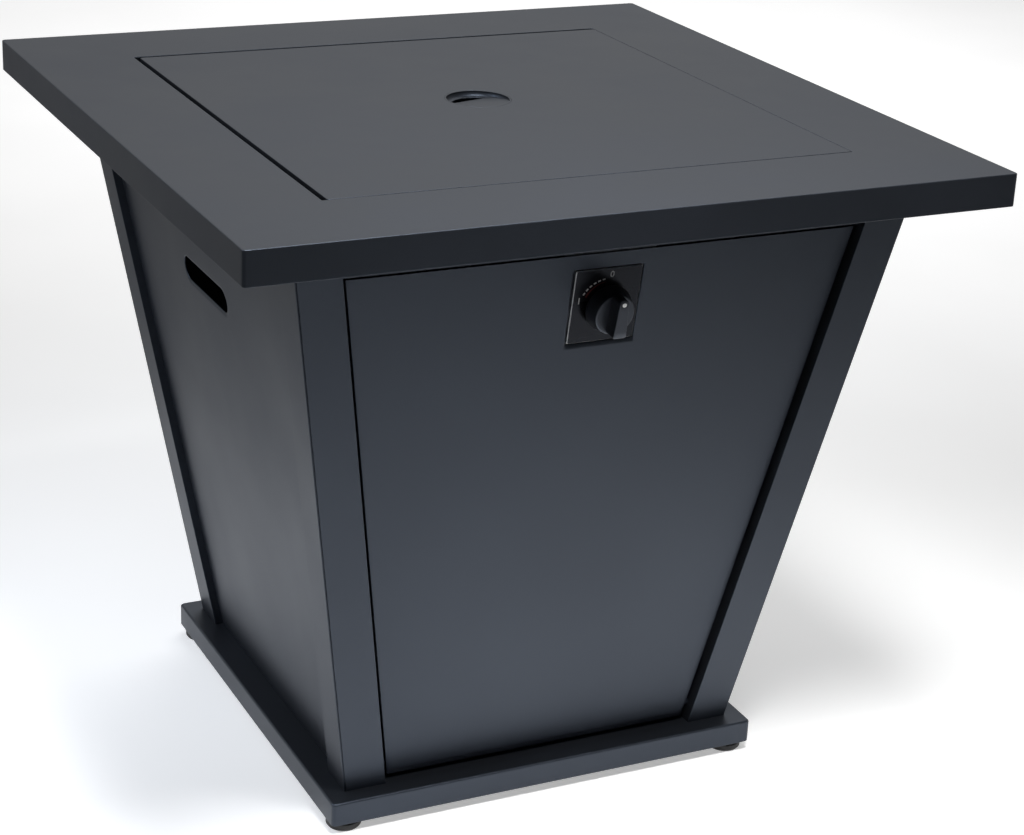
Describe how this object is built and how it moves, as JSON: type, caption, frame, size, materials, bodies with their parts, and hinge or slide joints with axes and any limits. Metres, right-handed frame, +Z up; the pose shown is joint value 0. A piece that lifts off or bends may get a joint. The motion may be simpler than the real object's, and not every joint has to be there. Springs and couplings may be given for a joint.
{
  "type": "gas fire pit table",
  "caption": "Square sheet-metal gas fire pit table with an overhanging top, lift-off lid over a fire bowl, tapered panelled body, tilt-out door and front control knob.",
  "frame": {"origin": "on the floor under the centre of the table", "axes": "+Z up; -Y is the front with the door and the knob; +X is the right seen from the front"},
  "size_m": [0.711, 0.711, 0.615],
  "materials": {
    "charcoal_coat": "satin powder coat",
    "bowl_coat": "matt heat-resistant coat",
    "stainless": "brushed stainless steel",
    "zinc": "zinc-plated steel",
    "brass": "turned brass",
    "black_plastic": "moulded black plastic",
    "marker_white": "white paint fill",
    "control_black": "gloss black printed plate",
    "lava": "porous lava rock",
    "porcelain": "glazed spark insulator",
    "lead_sleeve": "silicone sleeve"
  },
  "bodies": {
    "frame": {"table_top": "charcoal_coat", "fire_bowl": "bowl_coat", "burner_ring": "stainless", "burner_rests": "stainless", "burner_locknut": "zinc", "burner_elbow": "brass", "lava_rocks": "lava", "gas_valve": "brass", "valve_nut": "zinc", "control_plate": "control_black", "control_bracket": "zinc", "control_screws": "zinc", "feed_pipe": "stainless", "pipe_nuts": "brass", "igniter_electrode": "porcelain", "igniter_bracket": "stainless", "igniter_lead": "lead_sleeve", "front_left_post": "charcoal_coat", "front_right_post": "charcoal_coat", "rear_left_post": "charcoal_coat", "rear_right_post": "charcoal_coat", "front_rail": "charcoal_coat", "left_rail": "charcoal_coat", "right_rail": "charcoal_coat", "rear_rail": "charcoal_coat", "left_panel": "charcoal_coat", "right_panel": "charcoal_coat", "rear_panel": "charcoal_coat", "magnet_catches": "black_plastic", "base_tray": "charcoal_coat", "foot_nuts": "zinc", "post_bolts": "zinc", "panel_screws": "zinc", "top_bolts": "zinc", "tank_ring": "bowl_coat"},
    "lid": {"lid": "charcoal_coat", "lid_finger_cup": "charcoal_coat"},
    "door": {"front_door": "charcoal_coat", "door_pins": "zinc", "strike_plates": "zinc"},
    "plunger": {"valve_plunger": "zinc"},
    "knob": {"control_knob": "black_plastic", "knob_marker": "marker_white", "valve_stem": "zinc"},
    "front_left_leveller": {"front_left_foot": "black_plastic"},
    "front_right_leveller": {"front_right_foot": "black_plastic"},
    "rear_left_leveller": {"rear_left_foot": "black_plastic"},
    "rear_right_leveller": {"rear_right_foot": "black_plastic"},
    "clamp": {"tank_screw": "zinc"}
  },
  "joints": [
    {"name": "lid_lift", "type": "slide", "parent": "frame", "child": "lid", "axis": [0, 0, 1], "range_m": [0, 0.3]},
    {"name": "door_tilt", "type": "hinge", "parent": "frame", "child": "door", "pos_m": [0, -0.18998, 0.05], "axis": [1, 0, 0], "range_deg": [0, 55]},
    {"name": "knob_push", "type": "slide", "parent": "frame", "child": "plunger", "axis": [0, 0.9866, 0.1632], "range_m": [0, 0.004], "stiffness_N_per_m": 1500, "springref_m": -0.002},
    {"name": "knob_turn", "type": "hinge", "parent": "plunger", "child": "knob", "pos_m": [0, -0.27143, 0.506], "axis": [0, -0.9866, -0.1632], "range_deg": [0, 90]},
    {"name": "front_left_level", "type": "slide", "parent": "frame", "child": "front_left_leveller", "axis": [0, 0, -1], "range_m": [0, 0.006]},
    {"name": "front_right_level", "type": "slide", "parent": "frame", "child": "front_right_leveller", "axis": [0, 0, -1], "range_m": [0, 0.006]},
    {"name": "rear_left_level", "type": "slide", "parent": "frame", "child": "rear_left_leveller", "axis": [0, 0, -1], "range_m": [0, 0.006]},
    {"name": "rear_right_level", "type": "slide", "parent": "frame", "child": "rear_right_leveller", "axis": [0, 0, -1], "range_m": [0, 0.006]},
    {"name": "clamp_feed", "type": "slide", "parent": "frame", "child": "clamp", "axis": [0, 1, 0], "range_m": [0, 0.01]}
  ]
}
